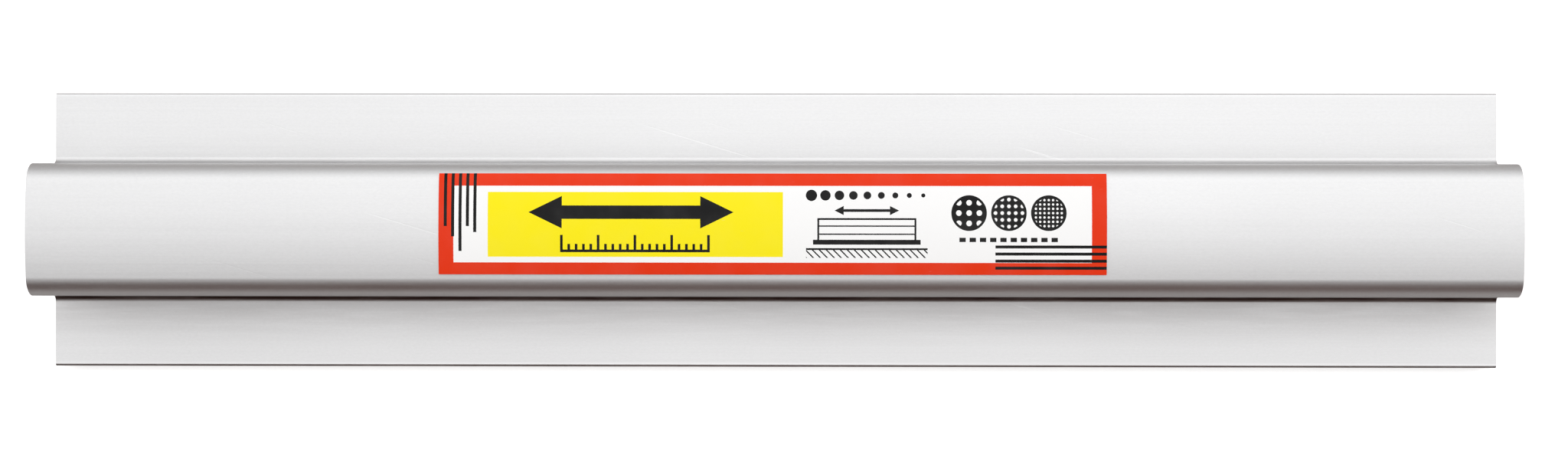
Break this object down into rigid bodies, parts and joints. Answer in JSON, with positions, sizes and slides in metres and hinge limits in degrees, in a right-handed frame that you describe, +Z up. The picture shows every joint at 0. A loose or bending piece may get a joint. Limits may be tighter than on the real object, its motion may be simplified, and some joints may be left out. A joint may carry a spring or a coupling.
{
  "type": "sanding stick",
  "caption": "Long hollow aluminium hand-sanding bar: flat sole with an abrasive strip below, a waisted hollow grip with a crowned top above, and a printed label on the crown.",
  "frame": {"origin": "centre of the abrasive strip's working face, which is the bottom of the bounding box; the bar stands on it", "axes": "+X along the bar, +Y across it towards the edge that the label is shifted to, +Z up from the abrasive face through the grip"},
  "size_m": [0.2794, 0.053, 0.0223],
  "materials": {
    "satin_aluminium": "satin clear-anodised extrusion with faint die lines along its length",
    "printed_vinyl": "semi-gloss vinyl printed in orange-red, white, yellow and black",
    "adhesive": "tacky, milky pressure-sensitive film",
    "backing_paper": "heavy brown kraft paper",
    "abrasive_grain": "rough brown aluminium-oxide grit set in resin"
  },
  "bodies": {
    "root": {"sanding_bar": "satin_aluminium", "adhesive_film": "adhesive", "backing_paper": "backing_paper", "abrasive_grain": "abrasive_grain", "label": "printed_vinyl"}
  },
  "joints": []
}
